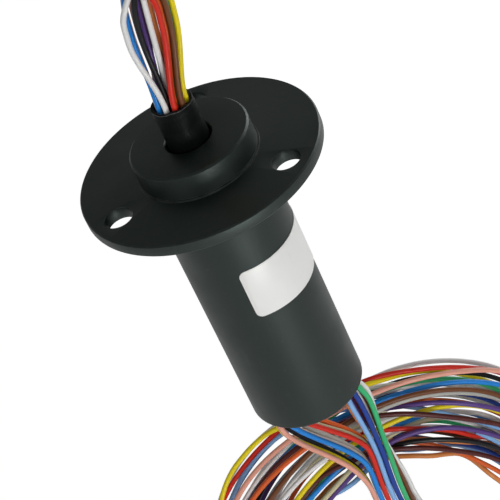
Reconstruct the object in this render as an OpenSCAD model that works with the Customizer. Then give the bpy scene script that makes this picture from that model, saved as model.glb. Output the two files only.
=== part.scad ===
// Capsule slip ring with a round mounting flange and loose leads at both ends.
// The origin is the centre of the flange's outer face, +Z runs along the axis
// towards the rotor's leads, and the housing hangs below the flange.

/* [Flange] */
// Outside diameter of the mounting flange
flange_d = 44.5; // [44:0.5:60]
// Thickness of the mounting flange
flange_t = 2.3; // [1.8:0.1:4]
// Number of mounting holes
hole_count = 3; // [2:1:6]
// Diameter of a mounting hole
hole_d = 5.3; // [3:0.1:5.5]
// Width of the rim left outside each mounting hole
hole_margin = 2; // [1:0.1:2.5]
// Angle of the first mounting hole
hole_turn = 79; // [0:1:120]
// Chamfer on the edges of the flange
flange_edge = 0.25; // [0.1:0.05:0.5]

/* [Housing] */
// Outside diameter of the boss on the flange
boss_d = 22; // [20:0.5:24]
// Height of the boss above the flange
boss_h = 5; // [5:0.5:8]
// Outside diameter of the housing below the flange
body_d = 22; // [22:0.5:24]
// Length of the housing below the flange
body_l = 55.2; // [55:0.1:70]
// Wall of the housing
body_wall = 1.2; // [0.8:0.1:1.5]
// Round on the far edge of the housing
body_edge = 0.9; // [0.4:0.1:1]
// Chamfer on the edges of the boss
boss_edge = 0.35; // [0.1:0.05:0.6]
// Gap between the lead sleeve and the hole it turns in
boss_gap = 0.35; // [0.2:0.05:0.5]

/* [End cap] */
// Thickness of the end cap's floor
cap_floor = 2; // [1.5:0.1:3]
// Clearance of the end cap in the housing
cap_fit = 0.02; // [0.01:0.01:0.05]
// Wall of the end cap's skirt
skirt_wall = 0.8; // [0.6:0.1:1]
// Wall of the hub that holds the rear bearing
hub_wall = 0.8; // [0.5:0.1:1]
// Width of the floor between each lead outlet and the housing's wall
outlet_margin = 1.025; // [1:0.005:1.1]
// Corner radius of a lead outlet
outlet_round = 0.6; // [0.3:0.1:1]
// Thickness of the resin that seals each lead outlet
resin_t = 1.2; // [0.5:0.1:1.4]

/* [Rotor] */
// Number of circuits, with one lead at each end of each
circuits = 18; // [18]
// Outside diameter of the rotor shaft
shaft_d = 6; // [5.8:0.1:6.2]
// Wall of the rotor shaft
shaft_wall = 0.55; // [0.4:0.05:0.8]
// Height of the shaft's end above the flange
shaft_top = 7; // [6:0.5:9]
// Diameter of the shaft's rear journal
journal_d = 4; // [3.6:0.1:4.2]
// Diameter of the core under the contact rings
core_d = 10; // [9:0.5:10.5]
// Distance between contact rings
ring_pitch = 2.15; // [1.9:0.05:2.2]
// Width of a contact ring
ring_w = 1.2; // [0.8:0.1:1.3]
// Radial thickness of a contact ring
ring_t = 0.7; // [0.5:0.1:0.8]
// Height of the barriers above the rings
barrier_h = 0.6; // [0.3:0.1:0.7]
// Depth of the groove in each contact ring
groove_h = 0.15; // [0.1:0.05:0.25]

/* [Brushes] */
// Diameter of a brush wire
brush_wire_d = 0.3; // [0.2:0.05:0.4]
// Width of a brush block
brush_block_w = 6.4; // [5:0.2:7]
// Thickness of a brush block
brush_block_t = 2; // [1.4:0.1:2.2]
// Distance between the two legs of a brush wire
brush_span = 4; // [3:0.2:4.4]
// Running gap between a brush wire and its ring
brush_gap = 0.05; // [0.03:0.01:0.1]

/* [Bearings] */
// Outside diameter of the front bearing
front_bearing_d = 13; // [12.5:0.5:14]
// Width of the front bearing
front_bearing_w = 3.5; // [3:0.1:4]
// Ball diameter in the front bearing
front_ball_d = 2; // [1.6:0.1:2.1]
// Number of balls in the front bearing
front_balls = 8; // [6:1:9]
// Outside diameter of the rear bearing
rear_bearing_d = 8; // [7.8:0.1:8.2]
// Width of the rear bearing
rear_bearing_w = 2; // [1.8:0.1:2.4]
// Ball diameter in the rear bearing
rear_ball_d = 1.1; // [0.9:0.1:1.2]
// Number of balls in the rear bearing
rear_balls = 9; // [6:1:10]
// Running clearance between balls and races
ball_gap = 0.02; // [0.01:0.01:0.04]

/* [Lead sleeve] */
// Outside diameter of the shrink sleeve at the housing
sleeve_d = 7.7; // [7.5:0.1:8]
// Outside diameter of the shrink sleeve at its mouth
sleeve_mouth_d = 7.5; // [7.2:0.1:7.6]
// Height of the sleeve's mouth above the flange
sleeve_top = 13; // [11:0.5:15]
// Wall of the sleeve at its mouth
sleeve_wall = 0.6; // [0.4:0.05:0.7]
// Depth of the open mouth above the resin
mouth_depth = 0.9; // [0.5:0.1:2]

/* [Label] */
// Height of the blank label
label_h = 10.8; // [8:0.2:14]
// Thickness of the label
label_t = 0.12; // [0.05:0.01:0.2]
// Distance of the label's upper edge below the flange
label_drop = 15.8; // [10:0.2:20]
// Angle at which the label starts
label_from = -103.5; // [-120:0.5:-90]
// Angle that the label covers
label_sweep = 124; // [90:1:150]
// Corner radius of the label
label_round = 1.3; // [0.5:0.1:2]

/* [Leads] */
// Diameter of a lead over its insulation
lead_d = 1.05; // [0.8:0.05:1.05]
// Distance between leads that lie side by side
lead_pitch = 1.15; // [1.1:0.01:1.2]

/* [Hidden] */
$fn = 48;
eps = 0.01;
lead_names = [for (i = [1 : circuits]) i < 10 ? str("0", i) : str(i)];

// Colours
black_plastic = [0.09, 0.1, 0.095];
sleeve_black = [0.05, 0.05, 0.055];
label_white = [0.86, 0.86, 0.84];
resin_black = [0.06, 0.06, 0.06];
core_ivory = [0.75, 0.7, 0.58];
gold = [0.83, 0.66, 0.3];
steel = [0.68, 0.69, 0.7];
bronze = [0.6, 0.45, 0.25];
tie_black = [0.07, 0.07, 0.07];
// Black, brown, red, orange, yellow, green, azure, purple, grey, white, pink,
// light blue, white, navy, beige, maroon, vermilion and white
lead_colours = [
    [0.08, 0.08, 0.09], [0.4, 0.22, 0.1], [0.8, 0.1, 0.14], [0.78, 0.42, 0.22],
    [0.95, 0.85, 0.1], [0.2, 0.78, 0.45], [0.12, 0.55, 0.92], [0.3, 0.22, 0.45],
    [0.6, 0.6, 0.56], [0.92, 0.92, 0.9], [0.96, 0.6, 0.5], [0.5, 0.72, 0.95],
    [0.92, 0.92, 0.9], [0.12, 0.18, 0.5], [0.87, 0.82, 0.62], [0.3, 0.12, 0.1],
    [0.88, 0.28, 0.12], [0.92, 0.92, 0.9]];

// Levels along the axis
hole_pcd = flange_d - 2 * hole_margin - hole_d;
flange_back = -flange_t;
body_end = flange_back - body_l;
cap_top = body_end + cap_floor;
body_r = body_d / 2;
bore_r = body_r - body_wall;
sleeve_hole_r = sleeve_d / 2 + boss_gap;

// Bearings: seat, races and ball circle from the bearing's own size
shaft_r = shaft_d / 2;
journal_r = journal_d / 2;
front_or = front_bearing_d / 2;
front_pcr = (front_or + shaft_r) / 2;
front_low = flange_back + 0.8;
front_high = front_low + front_bearing_w;
rear_or = rear_bearing_d / 2;
rear_pcr = (rear_or + journal_r) / 2;
hub_r = rear_or + hub_wall;
rear_low = cap_top + 2.9;
rear_high = rear_low + rear_bearing_w;
race_land = 0.55;
cage_wall = 0.3;
bearing_fit = 0.01;

// Rotor: the collar seats the front bearing and the core runs on below it
collar_r = shaft_r + 0.7;
collar_t = 1.2;
core_top = front_low - collar_t;
core_r = core_d / 2;
ring_r = core_r + ring_t;
barrier_r = ring_r + barrier_h;
barrier_w = ring_pitch - ring_w;
core_l = circuits * ring_pitch + barrier_w;
journal_top = rear_high + 0.6;
shaft_end = rear_low - 1.3;
bore_end = journal_top + 2;
clip_t = 0.4;
clip_groove = 0.35;
clip_reach = 0.7;
ring_z = [for (i = [0 : circuits - 1]) core_top - barrier_w - ring_w / 2 - i * ring_pitch];

// Brush blocks hang between the housing's shoulder and the end cap's skirt
block_out = bore_r - 0.1;
block_in = block_out - brush_block_t;
block_top = core_top - 0.2;
block_low = core_top - core_l - 0.4;
skirt_top = block_low;
wire_x = ring_r - groove_h + brush_gap + brush_wire_d / 2;

// Leads: three by three through each outlet
outlet_half = lead_pitch + lead_d / 2 + 0.1;
outlet_x = bore_r - outlet_margin - outlet_half;
lead_start = body_end + cap_floor - resin_t;
sleeve_resin_top = sleeve_top - mouth_depth;
corner_bite = 0.03;

// Plain outline helpers
module ring_solid(r_out, r_in, z_low, z_high) {
    translate([0, 0, z_low])
        difference() {
            cylinder(r = r_out, h = z_high - z_low, $fn = 96);
            translate([0, 0, -1]) cylinder(r = r_in, h = z_high - z_low + 2, $fn = 96);
        }
}

// ---- Housing ----

// Half section of boss, flange and tube: one moulded piece
module housing_section() {
    polygon([
        [sleeve_hole_r, boss_h],
        [boss_d / 2 - boss_edge, boss_h],
        [boss_d / 2, boss_h - boss_edge],
        [boss_d / 2, 0],
        [flange_d / 2 - flange_edge, 0],
        [flange_d / 2, -flange_edge],
        [flange_d / 2, flange_back + flange_edge],
        [flange_d / 2 - flange_edge, flange_back],
        [body_r, flange_back],
        [body_r, body_end + body_edge],
        [body_r - body_edge, body_end],
        [bore_r, body_end],
        [bore_r, core_top + 0.8],
        [front_or + bearing_fit, core_top + 0.8],
        [front_or + bearing_fit, front_high],
        [sleeve_hole_r, front_high]]);
}

module body_edge_round() {
    rotate_extrude($fn = 96)
        translate([body_r - body_edge, body_end + body_edge])
            intersection() {
                circle(r = body_edge, $fn = 48);
                translate([0, -body_edge]) square(body_edge);
            }
}

module stator_housing() {
    color(black_plastic)
        difference() {
            union() {
                rotate_extrude($fn = 96) housing_section();
                body_edge_round();
            }
            for (i = [0 : hole_count - 1])
                rotate([0, 0, hole_turn + i * 360 / hole_count])
                    translate([hole_pcd / 2, 0, flange_back - 1])
                        cylinder(d = hole_d, h = flange_t + 2, $fn = 48);
        }
}

// ---- End cap with two sealed lead outlets ----

module outlet_outline(half) {
    square([2 * half, 2 * (half - outlet_round)], center = true);
    square([2 * (half - outlet_round), 2 * half], center = true);
    for (x = [-1, 1], y = [-1, 1])
        translate([x, y] * (half - outlet_round)) circle(r = outlet_round, $fn = 32);
}

module outlets(low, high, half) {
    for (side = [-1, 1])
        translate([side * outlet_x, 0, low])
            linear_extrude(high - low) outlet_outline(half);
}

module end_cap() {
    color(black_plastic)
        difference() {
            union() {
                translate([0, 0, body_end]) cylinder(r = bore_r - cap_fit, h = cap_floor, $fn = 96);
                ring_solid(bore_r - cap_fit, bore_r - skirt_wall, cap_top - eps, skirt_top);
                ring_solid(hub_r, rear_or - 0.8, cap_top - eps, rear_high);
            }
            ring_solid(rear_or + bearing_fit, 0.1, rear_low, rear_high + 1);
            outlets(body_end - 1, cap_top + 1, outlet_half);
        }
}

module outlet_resin() {
    color(resin_black) outlets(lead_start, cap_top, outlet_half);
}

// ---- Blank label wrapped round the housing ----

// Cuts one corner of the label round, at an edge of it and at its top or its foot
module label_corner(angle, z, turn_side, up_side) {
    inset = label_round - corner_bite;
    rotate([0, 0, angle])
        translate([body_r - 1, -turn_side * inset, z - up_side * inset])
            rotate([0, 90, 0])
                difference() {
                    translate([up_side > 0 ? -2 * label_round : 0, turn_side > 0 ? 0 : -2 * label_round, 0])
                        cube([2 * label_round, 2 * label_round, 3]);
                    translate([0, 0, -1]) cylinder(r = label_round, h = 5, $fn = 48);
                }
}

module label() {
    top = flange_back - label_drop;
    low = top - label_h;
    color(label_white)
        difference() {
            translate([0, 0, low])
                rotate([0, 0, label_from])
                    rotate_extrude(angle = label_sweep, $fn = 96)
                        translate([body_r, 0]) square([label_t, label_h]);
            label_corner(label_from, top, -1, 1);
            label_corner(label_from, low, -1, -1);
            label_corner(label_from + label_sweep, top, 1, 1);
            label_corner(label_from + label_sweep, low, 1, -1);
        }
}

// ---- Brush blocks and their wires ----

module brush_block(side) {
    color(core_ivory)
        intersection() {
            ring_solid(block_out, core_r, block_low, block_top);
            translate([side > 0 ? block_in : -block_out - 1, -brush_block_w / 2, block_low - 1])
                cube([block_out - block_in + 1, brush_block_w, block_top - block_low + 2]);
        }
}

module brush_wire(side) {
    reach = block_in - wire_x;
    translate([side * wire_x, -brush_span / 2, 0])
        rotate([-90, 0, 0]) cylinder(d = brush_wire_d, h = brush_span, $fn = 16);
    for (y = [-1, 1])
        translate([side * wire_x, y * brush_span / 2, 0]) {
            sphere(d = brush_wire_d, $fn = 16);
            rotate([0, side * 90, 0]) cylinder(d = brush_wire_d, h = reach, $fn = 16);
        }
}

module brush_wires(side) {
    color(gold)
        for (z = ring_z) translate([0, 0, z]) brush_wire(side);
}

// ---- Ball bearings ----

module race(r_out, r_in, z_low, z_high, ball_d, pcr) {
    color(steel)
        difference() {
            ring_solid(r_out, r_in, z_low, z_high);
            translate([0, 0, (z_low + z_high) / 2])
                rotate_extrude($fn = 96)
                    translate([pcr, 0]) circle(d = ball_d + 2 * ball_gap, $fn = 48);
        }
}

module outer_race(r_out, z_low, z_high, ball_d, pcr) {
    race(r_out, pcr + ball_d / 2 - race_land * ball_d / 2, z_low, z_high, ball_d, pcr);
}

module inner_race(r_in, z_low, z_high, ball_d, pcr) {
    race(pcr - ball_d / 2 + race_land * ball_d / 2, r_in, z_low, z_high, ball_d, pcr);
}

// Balls, each a solid of its own, in the pockets of a flat bronze cage
module ball_cage(z_low, z_high, ball_d, pcr, balls) {
    middle = (z_low + z_high) / 2;
    color(bronze)
        difference() {
            ring_solid(pcr + cage_wall, pcr - cage_wall, middle - ball_d * 0.35, middle + ball_d * 0.35);
            for (i = [0 : balls - 1])
                rotate([0, 0, i * 360 / balls])
                    translate([pcr, 0, middle]) sphere(d = ball_d + 2 * ball_gap, $fn = 48);
        }
    color(steel)
        for (i = [0 : balls - 1])
            rotate([0, 0, i * 360 / balls])
                translate([pcr, 0, middle]) sphere(d = ball_d, $fn = 48);
}

// ---- Rotor ----

module rotor_shaft() {
    color(steel)
        difference() {
            union() {
                translate([0, 0, journal_top]) cylinder(r = shaft_r, h = shaft_top - journal_top, $fn = 64);
                translate([0, 0, shaft_end]) cylinder(r = journal_r, h = journal_top - shaft_end + eps, $fn = 64);
                translate([0, 0, core_top]) cylinder(r = collar_r, h = collar_t, $fn = 64);
            }
            translate([0, 0, bore_end])
                cylinder(r = shaft_r - shaft_wall, h = shaft_top - bore_end + 1, $fn = 64);
            ring_solid(journal_r + 1, journal_r - clip_groove, rear_low - clip_t, rear_low);
        }
}

// Moulded core: a barrier between each two rings
module ring_core() {
    color(core_ivory)
        difference() {
            union() {
                translate([0, 0, core_top - core_l]) cylinder(r = core_r, h = core_l, $fn = 96);
                for (i = [0 : circuits])
                    translate([0, 0, core_top - barrier_w - i * ring_pitch])
                        cylinder(r = barrier_r, h = barrier_w, $fn = 96);
            }
            translate([0, 0, core_top - core_l - 1])
                cylinder(r = shaft_r + bearing_fit, h = core_l + 2, $fn = 64);
        }
}

module contact_rings() {
    color(gold)
        for (z = ring_z)
            difference() {
                ring_solid(ring_r, core_r + bearing_fit, z - ring_w / 2, z + ring_w / 2);
                translate([0, 0, z])
                    rotate_extrude($fn = 96)
                        translate([ring_r + groove_h, 0])
                            rotate(45) square(2 * groove_h * sqrt(2), center = true);
            }
}

module retaining_ring() {
    color(steel)
        difference() {
            ring_solid(journal_r + clip_reach, journal_r - clip_groove + bearing_fit,
                rear_low - clip_t + bearing_fit, rear_low - bearing_fit);
            translate([0, -journal_r * 0.6, rear_low - 1])
                cube([journal_r * 2, journal_r * 1.2, 2]);
        }
}

module lead_sleeve() {
    low = front_high + 0.15;
    color(sleeve_black)
        difference() {
            translate([0, 0, low])
                cylinder(r1 = sleeve_d / 2, r2 = sleeve_mouth_d / 2, h = sleeve_top - low, $fn = 64);
            translate([0, 0, low - 1])
                cylinder(r = shaft_r + bearing_fit, h = shaft_top - low + 1, $fn = 64);
            translate([0, 0, shaft_top - eps])
                cylinder(r = sleeve_mouth_d / 2 - sleeve_wall, h = sleeve_top - shaft_top + 1, $fn = 64);
        }
}

module sleeve_resin() {
    color(resin_black)
        translate([0, 0, shaft_top])
            cylinder(r = sleeve_mouth_d / 2 - sleeve_wall, h = sleeve_resin_top - shaft_top, $fn = 64);
}

// ---- Leads: routes ----

// Chosen points along the middle of each bundle
stator_mid = [
    [6.6, 0, -58], [6.5, 0, -68], [6.1, 0, -78], [5.4, 0, -88], [5.5, 1, -98], [7.2, 3, -108],
    [10.4, 5, -117], [15.3, 7, -124], [21.5, 9, -127.5], [28, 10.5, -127], [33, 11.5, -123]];
rotor_mid = [
    [0, 0, 12.1], [0.3, 0, 15], [1, 0, 20], [1.8, 0, 26], [2.7, -0.6, 32], [3.6, -1.6, 37], [4.3, -2.4, 41]];
stator_steps = 27;
rotor_steps = 12;

// Catmull-Rom curve through the points p at u = 0 to len(p) - 1
function before(p, i) = i > 0 ? p[i - 1] : 2 * p[0] - p[1];
function after(p, i) = i + 2 < len(p) ? p[i + 2] : 2 * p[i + 1] - p[i];
function piece(p, i, t) =
    let (a = before(p, i), b = p[i], c = p[i + 1], d = after(p, i))
    0.5 * (2 * b + (c - a) * t + (2 * a - 5 * b + 4 * c - d) * t * t
        + (3 * b - a - 3 * c + d) * t * t * t);
function along(p, u) = let (i = min(floor(u), len(p) - 2)) piece(p, i, u - i);
function unit(v) = v / norm(v);
function smooth(t) = let (k = min(max(t, 0), 1)) k * k * (3 - 2 * k);
function heading(p, u) = unit(along(p, min(u + 0.05, len(p) - 1)) - along(p, max(u - 0.05, 0)));

// Stator leads: nine through each outlet, in three columns of three, which
// fan out below it and then close into one ribbon, six wide and three deep
outlet_order = [[11, 5, 1, 7, 10, 9, 3, 15, 17], [12, 4, 8, 14, 16, 18, 6, 2, 13]];
ribbon_pitch = 1.12;
ribbon_deep = 1.2;
straight_l = 2.5;
trail = 0.95;
row_shift = [0, -0.8, 0.8];
function place_of(n) = [
    for (g = [0, 1], k = [0 : 8]) if (outlet_order[g][k] == n) [g, floor(k / 3), k % 3]][0];
function fan(z) = 0.7 * smooth((lead_start - 2 - z) / 8) * (1 - smooth((-68 - z) / 16));
function outlet_point(s, z) =
    let (f = fan(z), middle = s[0] == 0 ? -outlet_x : outlet_x + 0.9 * f)
    [middle + (s[1] - 1) * lead_pitch * (1 + f) + row_shift[s[2]] * f, (s[2] - 1) * lead_pitch, z];
// The back leads of the last column trail out to the side below
function trailing(s, z) = s[0] == 1 && s[1] == 2 ? s[2] * trail * smooth((-76 - z) / 16) : 0;
function ribbon_point(s, u) =
    let (m = along(stator_mid, u), t = heading(stator_mid, u), side = unit([-t[2], 0, t[0]]),
        deep = cross(side, t))
    m + side * ((s[0] * 3 + s[1] - 2.5) * ribbon_pitch + trailing(s, m[2]))
        + deep * (s[2] - 1) * ribbon_deep;
function close_level(s) = s[0] == 0 ? -89 + 5 * s[1] : -84;
function stator_point(s, u) =
    let (r = ribbon_point(s, u), z = along(stator_mid, u)[2], top = lead_start - straight_l,
        o = outlet_point(s, r[2]))
    o + (r - o) * smooth((top - z) / (top - close_level(s)));
function stator_route(n) = let (s = place_of(n)) concat(
    [outlet_point(s, lead_start)],
    [for (k = [1 : stator_steps]) stator_point(s, k * (len(stator_mid) - 1) / stator_steps)]);

// Rotor leads: ten round seven round one in the mouth of the sleeve. They fan out
// above it, cross there, and draw together again before the hank
outer_seat_r = 2.55;
inner_seat_r = 1.35;
function seat(k) = k < 10 ? outer_seat_r * [cos(18 + k * 36), sin(18 + k * 36)]
    : k < 17 ? inner_seat_r * [cos(30.3 + (k - 10) * 360 / 7), sin(30.3 + (k - 10) * 360 / 7)]
    : [0, 0];
mouth_seat = [14, 8, 7, 10, 9, 16, 5, 13, 1, 4, 12, 0, 6, 2, 11, 3, 15, 17];
fan_place = [
    [-1.9, -1.05], [3.4, -1.5], [1.9, -2], [1.02, 0.14], [4.65, -0.63], [3.6, -0.12],
    [-3.3, 0.6], [-0.85, 0.37], [2.6, 2.3], [-3, 2.2], [-1.78, 1.6], [4.4, 0.9],
    [-4.2, -1.4], [0.9, 2.9], [1.22, 1.8], [-0.33, 2.88], [2.57, -0.74], [0.1, -1.3]];
function rotor_point(n, u) =
    let (m = along(rotor_mid, u), a = seat(mouth_seat[n - 1]), b = fan_place[n - 1],
        opened = smooth((m[2] - 13) / 15), gathered = smooth((m[2] - 31) / 9),
        o = a + (b - a) * opened * (1 - gathered) + a * 0.1 * gathered)
    m + [o[0], o[1], 0];
function rotor_route(n) =
    [for (s = [0 : rotor_steps]) rotor_point(n, s * (len(rotor_mid) - 1) / rotor_steps)];

// A plain tube swept along a route, its first and last rings square to its ends
lead_sides = 8;
function tangent(p, k) = unit(p[min(k + 1, len(p) - 1)] - p[max(k - 1, 0)]);
function tube_ring(p, k) =
    let (t = k == 0 ? [0, 0, sign(p[1][2] - p[0][2])] : tangent(p, k),
        side = unit(cross(t, [0, 1, 0])), deep = cross(side, t))
    [for (a = [0 : lead_sides - 1])
        p[k] + lead_d / 2 * (side * cos(a * 360 / lead_sides) + deep * sin(a * 360 / lead_sides))];
module lead_tube(p) {
    n = len(p);
    m = lead_sides;
    polyhedron(
        points = [for (k = [0 : n - 1]) each tube_ring(p, k)],
        faces = concat(
            [[for (a = [0 : m - 1]) a]],
            [for (k = [0 : n - 2], a = [0 : m - 1])
                let (b = (a + 1) % m) [k * m + a, (k + 1) * m + a, (k + 1) * m + b, k * m + b]],
            [[for (a = [0 : m - 1]) n * m - 1 - a]]));
}

module stator_lead(n) {
    color(lead_colours[n - 1]) lead_tube(stator_route(n));
}

module rotor_lead(n) {
    color(lead_colours[n - 1]) lead_tube(rotor_route(n));
}

// ---- Coil and hank of the spare length ----

coil_at = [5, 12, -115];
coil_r = 33;
coil_w = 24;
coil_deep = 11;
tie_wall = 0.7;
tie_w = 4;

// Oval section of the coil, swept round an axis along Y
module coil_body(r_mid, w, deep, turn) {
    rotate_extrude(angle = turn, $fn = 96)
        translate([r_mid, 0])
            intersection() {
                square([w, deep], center = true);
                circle(d = w, $fn = 48);
            }
}

module stator_coil() {
    color(lead_colours[4])
        translate(coil_at) rotate([90, 0, 0]) coil_body(coil_r, coil_w, coil_deep, 360);
}

// Strap round the bottom of the coil
module coil_tie() {
    color(tie_black)
        translate(coil_at)
            rotate([90, 0, 0])
                rotate([0, 0, -90 - tie_w / coil_r * 90 / PI])
                    difference() {
                        rotate_extrude(angle = tie_w / coil_r * 180 / PI, $fn = 96)
                            translate([coil_r, 0])
                                square([coil_w + 2 * tie_wall, coil_deep + 2 * tie_wall], center = true);
                        coil_body(coil_r, coil_w + 2 * eps, coil_deep + 2 * eps, 360);
                    }
}

hank_at = [-1, 0, 66.5];
hank_run = 38;
hank_bend = 5.7;
hank_r = 8.5;
hank_deep = 11;

module hank_outline(extra) {
    r = hank_r + extra;
    square([2 * r, hank_run], center = true);
    for (s = [-1, 1]) translate([0, s * hank_run / 2]) circle(r = r, $fn = 64);
}

module rotor_hank() {
    color(lead_colours[9])
        translate(hank_at + [0, hank_deep / 2, 0])
            rotate([90, 0, 0]) linear_extrude(hank_deep) hank_outline(0);
}

module hank_tie() {
    color(tie_black)
        translate(hank_at)
            difference() {
                cube([2 * (hank_r + tie_wall), hank_deep + 2 * tie_wall, tie_w], center = true);
                cube([2 * hank_r, hank_deep, tie_w + 2], center = true);
            }
}

// ---- Nodes ----

stator_housing();
end_cap();
outlet_resin();
label();
brush_block(-1);  // brush_block_left
brush_block(1);  // brush_block_right
brush_wires(-1);  // brush_wires_left
brush_wires(1);  // brush_wires_right
outer_race(front_or, front_low, front_high, front_ball_d, front_pcr);  // front_bearing_outer
inner_race(shaft_r + bearing_fit, front_low, front_high, front_ball_d, front_pcr);  // front_bearing_inner
ball_cage(front_low, front_high, front_ball_d, front_pcr, front_balls);  // front_ball_cage
outer_race(rear_or, rear_low, rear_high, rear_ball_d, rear_pcr);  // rear_bearing_outer
inner_race(journal_r + bearing_fit, rear_low, rear_high, rear_ball_d, rear_pcr);  // rear_bearing_inner
ball_cage(rear_low, rear_high, rear_ball_d, rear_pcr, rear_balls);  // rear_ball_cage
rotor_shaft();
ring_core();
contact_rings();
retaining_ring();
lead_sleeve();
sleeve_resin();
stator_coil();
coil_tie();
rotor_hank();
hank_tie();
for (n = [1 : circuits]) {
    stator_lead(n);
    rotor_lead(n);
}
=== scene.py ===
import math
import bpy
from mathutils import Vector, Matrix, kdtree


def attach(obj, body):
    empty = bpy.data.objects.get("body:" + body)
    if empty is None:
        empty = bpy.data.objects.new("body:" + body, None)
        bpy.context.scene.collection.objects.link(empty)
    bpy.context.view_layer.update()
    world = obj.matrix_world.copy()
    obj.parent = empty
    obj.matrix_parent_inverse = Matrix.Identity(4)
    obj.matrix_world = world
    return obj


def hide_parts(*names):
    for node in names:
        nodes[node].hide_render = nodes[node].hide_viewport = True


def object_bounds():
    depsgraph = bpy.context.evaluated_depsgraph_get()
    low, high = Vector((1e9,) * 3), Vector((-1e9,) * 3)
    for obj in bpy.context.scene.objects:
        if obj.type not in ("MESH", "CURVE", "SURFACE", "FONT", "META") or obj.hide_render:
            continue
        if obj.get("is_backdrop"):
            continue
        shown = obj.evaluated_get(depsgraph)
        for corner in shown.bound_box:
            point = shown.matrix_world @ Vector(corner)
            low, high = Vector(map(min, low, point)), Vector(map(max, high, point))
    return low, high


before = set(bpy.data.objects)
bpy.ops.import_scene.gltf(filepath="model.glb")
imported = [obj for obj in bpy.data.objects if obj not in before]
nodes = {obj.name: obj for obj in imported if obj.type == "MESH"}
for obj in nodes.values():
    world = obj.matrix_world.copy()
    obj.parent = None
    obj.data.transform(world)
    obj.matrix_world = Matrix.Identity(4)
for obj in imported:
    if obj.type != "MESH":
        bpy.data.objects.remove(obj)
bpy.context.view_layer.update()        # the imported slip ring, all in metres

mm = 0.001
scene = bpy.context.scene


def stage(text):
    print("slip ring:", text)


# camera, looking down at the flange and rolled to one side
cameraFacts = {
    "elevation": 0.642258,   # looks down by this, in radians
    "roll": 0.445279,
    "distance": 393.113,     # millimetres from the aimed point
    "aim": (1.25, 0, -22.58),
    "lens": 158.15,
}


def makeCamera(facts):
    e, roll = facts["elevation"], facts["roll"]
    back = Vector((0, -math.cos(e), math.sin(e)))
    up = Vector((0, math.sin(e), math.cos(e)))
    right = Vector((1, 0, 0))
    x = right * math.cos(roll) - up * math.sin(roll)
    y = right * math.sin(roll) + up * math.cos(roll)
    place = (Vector(facts["aim"]) + back * facts["distance"]) * mm
    data = bpy.data.cameras.new("camera")
    data.lens, data.sensor_width = facts["lens"], 36
    data.clip_start, data.clip_end = 0.02, 20
    cam = bpy.data.objects.new("camera", data)
    cam.matrix_world = Matrix((
        (x.x, y.x, back.x, place.x), (x.y, y.y, back.y, place.y),
        (x.z, y.z, back.z, place.z), (0, 0, 0, 1)))
    scene.collection.objects.link(cam)
    scene.camera = cam


makeCamera(cameraFacts)
stage("camera")

# leads: routes in millimetres, made metres as each curve is drawn
leadFacts = {
    "diameter": 1.05,
    "statorLength": 500,
    "rotorLength": 250,
    "gap": 1.1,              # least distance between two leads' middles
    "step": 1.25,            # distance between the points that are pushed apart
    "rounds": 46,
    "uneven": 3,             # the fixed leads' lengths differ by up to this
    "count": 18,
    "keepEvery": 3,          # of the pushed points, every third stays in the curve
}
routeFacts = {
    "outletX": 7.0,
    "start": -56.7,
    "pitch": 1.15,
    "ribbonPitch": 1.12,
    "ribbonDeep": 1.2,
    "straight": 2.5,
    "trail": 0.95,
    "statorSteps": 27,
    "rotorSteps": 12,
    "rowShift": (0, -0.8, 0.8),
    "statorMid": [
        (6.6, 0, -58), (6.5, 0, -68), (6.1, 0, -78), (5.4, 0, -88), (5.5, 1, -98), (7.2, 3, -108),
        (10.4, 5, -117), (15.3, 7, -124), (21.5, 9, -127.5), (28, 10.5, -127), (33, 11.5, -123)],
    "rotorMid": [
        (0, 0, 12.1), (0.3, 0, 15), (1, 0, 20), (1.8, 0, 26), (2.7, -0.6, 32), (3.6, -1.6, 37),
        (4.3, -2.4, 41)],
    "outletOrder": [[11, 5, 1, 7, 10, 9, 3, 15, 17], [12, 4, 8, 14, 16, 18, 6, 2, 13]],
    "mouthSeat": [14, 8, 7, 10, 9, 16, 5, 13, 1, 4, 12, 0, 6, 2, 11, 3, 15, 17],
    "fanPlace": [
        (-1.9, -1.05), (3.4, -1.5), (1.9, -2), (1.02, 0.14), (4.65, -0.63), (3.6, -0.12),
        (-3.3, 0.6), (-0.85, 0.37), (2.6, 2.3), (-3, 2.2), (-1.78, 1.6), (4.4, 0.9),
        (-4.2, -1.4), (0.9, 2.9), (1.22, 1.8), (-0.33, 2.88), (2.57, -0.74), (0.1, -1.3)],
    "outerSeat": 2.55,
    "innerSeat": 1.35,
    "outerCount": 10,
    "innerCount": 7,
    "fan": 0.7,              # share by which a group opens between the outlets and the ribbon
    "fanShift": 0.9,
    "fanFrom": -58.7,
    "fanUntil": -68,
    "joined": (-89, -84),    # where each group's rows have become the ribbon
    "trailFrom": -76,
    "opensFrom": 13,         # the turning leads fan out here, over the next 15 mm
    "closesFrom": 31,
}
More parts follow.
